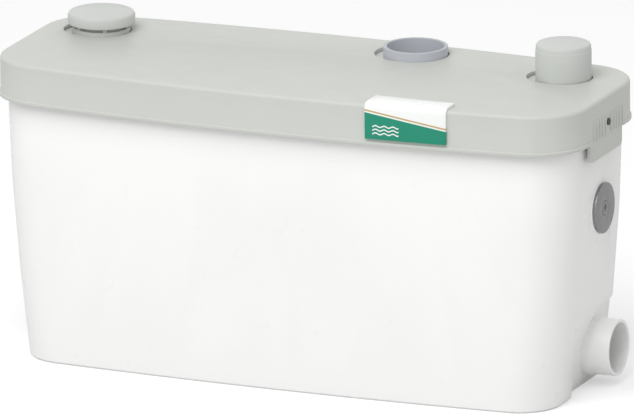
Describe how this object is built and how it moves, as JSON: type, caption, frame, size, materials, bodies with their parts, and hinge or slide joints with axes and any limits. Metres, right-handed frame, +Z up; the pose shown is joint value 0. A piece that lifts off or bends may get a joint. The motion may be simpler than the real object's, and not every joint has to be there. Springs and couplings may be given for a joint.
{
  "type": "macerator toilet pump",
  "caption": "Slim tapered white macerator tank with a bowed grey cover, capped vent and discharge necks, an open top inlet and low side inlets; motor, cutter basket and pump hang inside.",
  "frame": {"origin": "on the floor under the middle of the tank's base", "axes": "+X along the unit to the plug and discharge end, +Y towards the wall and the toilet, +Z up"},
  "size_m": [0.442, 0.184, 0.2415],
  "materials": {
    "tank_plastic": "smooth white injection-moulded plastic, satin",
    "cover_plastic": "light grey moulded plastic, satin",
    "port_plastic": "slightly bluer light grey moulded plastic",
    "label_face": "glossy printed label plate",
    "plug_metal": "satin metal disc",
    "rubber": "black rubber",
    "steel": "bright steel",
    "motor_paint": "dark painted metal",
    "laminations": "stacked steel sheet",
    "copper": "lacquered copper wire",
    "inner_plastic": "dark grey moulded plastic",
    "casting": "cast aluminium",
    "black_plastic": "black moulded plastic",
    "capacitor_can": "white plastic can",
    "foam": "open charcoal foam",
    "cable": "flexible cable jacket"
  },
  "bodies": {
    "tank": {"tank": "tank_plastic", "toilet_socket": "tank_plastic", "rubber_pads": "rubber", "wc_seal": "rubber", "flap_seats": "inner_plastic", "flap_pins": "steel"},
    "side_plug": {"plug_disc": "plug_metal", "plug_bung": "rubber", "plug_plate": "steel", "plug_screw": "plug_metal"},
    "right_flap": {"inlet_flap_right": "rubber"},
    "left_flap": {"inlet_flap_left": "rubber"},
    "pump_unit": {"carrier_lid": "port_plastic", "top_inlet_socket": "port_plastic", "lid_gasket": "rubber", "lid_screws": "steel", "vent_filter": "foam", "motor_can": "motor_paint", "motor_screws": "steel", "seal_plate": "casting", "stator_core": "laminations", "windings": "copper", "bearings": "steel", "shaft_seal": "rubber", "stack_screws": "steel", "macerator_basket": "inner_plastic", "pump_volute": "inner_plastic", "suction_cover": "inner_plastic", "volute_screws": "steel", "discharge_hose": "rubber", "hose_clamps": "steel", "valve_body": "inner_plastic", "valve_pin": "steel", "pressure_switch": "black_plastic", "switch_cup": "black_plastic", "membrane": "rubber", "microswitch": "black_plastic", "pressure_bell": "inner_plastic", "capacitor": "capacitor_can", "capacitor_cradle": "black_plastic", "terminal_block": "capacitor_can", "mains_lead": "cable", "motor_lead": "cable", "cable_gland": "black_plastic"},
    "rotor": {"shaft": "steel", "rotor_core": "laminations", "cutter_hub": "steel", "cutter_blades": "steel", "impeller": "black_plastic", "impeller_nut": "steel"},
    "valve_flap": {"valve_flap": "rubber"},
    "plunger": {"switch_plunger": "black_plastic"},
    "cover": {"cover": "cover_plastic", "label_plate": "label_face", "lock_screw": "steel", "lock_nut": "steel"},
    "vent_cap": {"vent_cap": "port_plastic"},
    "outlet_cap": {"outlet_cap": "port_plastic"}
  },
  "joints": [
    {"name": "pump_unit_lift", "type": "slide", "parent": "tank", "child": "pump_unit", "axis": [0, 0, 1], "range_m": [0, 0.195]},
    {"name": "rotor_spin", "type": "hinge", "parent": "pump_unit", "child": "rotor", "pos_m": [-0.03, 0, 0.1], "axis": [0, 0, 1], "continuous": true},
    {"name": "valve_flap_swing", "type": "hinge", "parent": "pump_unit", "child": "valve_flap", "pos_m": [0.174, 0.0492, 0.1276], "axis": [-1, 0, 0], "range_deg": [0, 70]},
    {"name": "plunger_travel", "type": "slide", "parent": "pump_unit", "child": "plunger", "axis": [0, 0, 1], "range_m": [0, 0.002]},
    {"name": "cover_lift", "type": "slide", "parent": "pump_unit", "child": "cover", "axis": [0, 0, 1], "range_m": [0, 0.09]},
    {"name": "vent_cap_pull", "type": "slide", "parent": "cover", "child": "vent_cap", "axis": [0, 0, 1], "range_m": [0, 0.025]},
    {"name": "outlet_cap_pull", "type": "slide", "parent": "pump_unit", "child": "outlet_cap", "axis": [0, 0, 1], "range_m": [0, 0.036]},
    {"name": "side_plug_pull", "type": "slide", "parent": "tank", "child": "side_plug", "axis": [1, 0, 0], "range_m": [0, 0.03]},
    {"name": "right_flap_swing", "type": "hinge", "parent": "tank", "child": "right_flap", "pos_m": [0.1801, 0.0295, 0.0465], "axis": [0, 1, 0], "range_deg": [0, 60]},
    {"name": "left_flap_swing", "type": "hinge", "parent": "tank", "child": "left_flap", "pos_m": [-0.1801, 0.0295, 0.0465], "axis": [0, -1, 0], "range_deg": [0, 60]}
  ]
}
